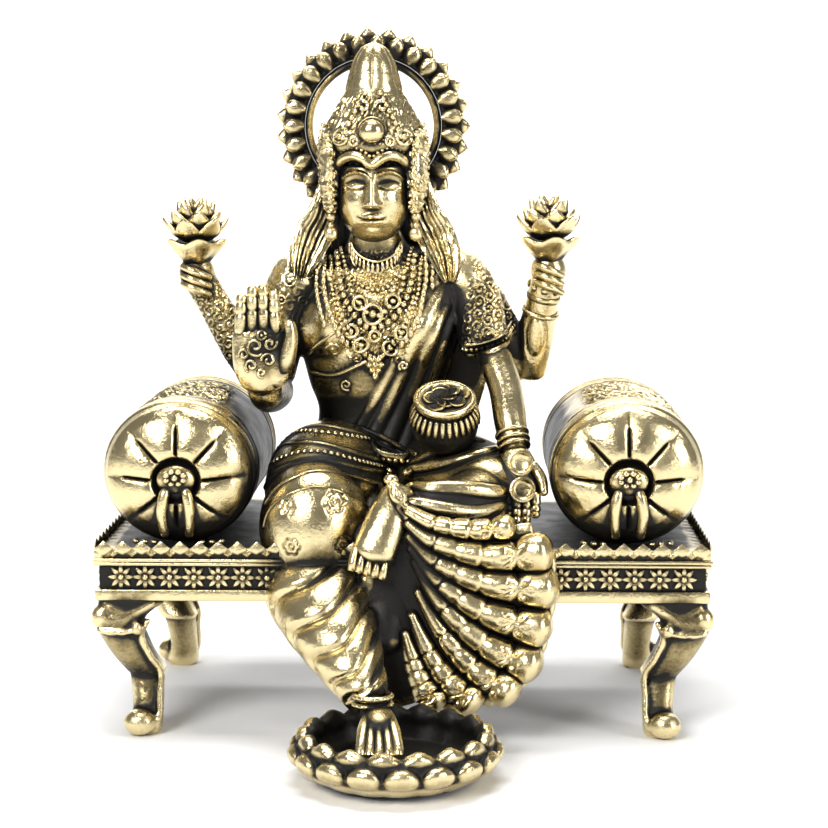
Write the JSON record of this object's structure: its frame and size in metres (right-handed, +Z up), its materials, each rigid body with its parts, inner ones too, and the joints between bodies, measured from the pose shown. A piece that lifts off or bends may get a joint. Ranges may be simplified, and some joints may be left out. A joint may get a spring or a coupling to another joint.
{
  "type": "seated goddess figurine",
  "caption": "Cast brass figurine of a goddess seated on a cabriole-legged bench between bolsters, her lowered foot in a lotus bowl, with a petalled halo.",
  "frame": {"origin": "on the ground under the middle of the whole work's outer box", "axes": "+X to the viewer's right, +Z up, the front of the work faces -Y"},
  "size_m": [0.089, 0.0804, 0.1023],
  "materials": {
    "figure_brass": "cast, polished on the high places, dark patina in the recesses",
    "bench_brass": "cast, polished on the high places, dark patina in the recesses",
    "bolster_brass": "cast, polished lobes, dark patina in the grooves",
    "lotus_brass": "cast, polished petals, dark patina inside the bowl"
  },
  "bodies": {
    "root": {"goddess": "figure_brass", "bench": "bench_brass", "bolster_left": "bolster_brass", "bolster_right": "bolster_brass", "lotus_footrest": "lotus_brass"}
  },
  "joints": []
}
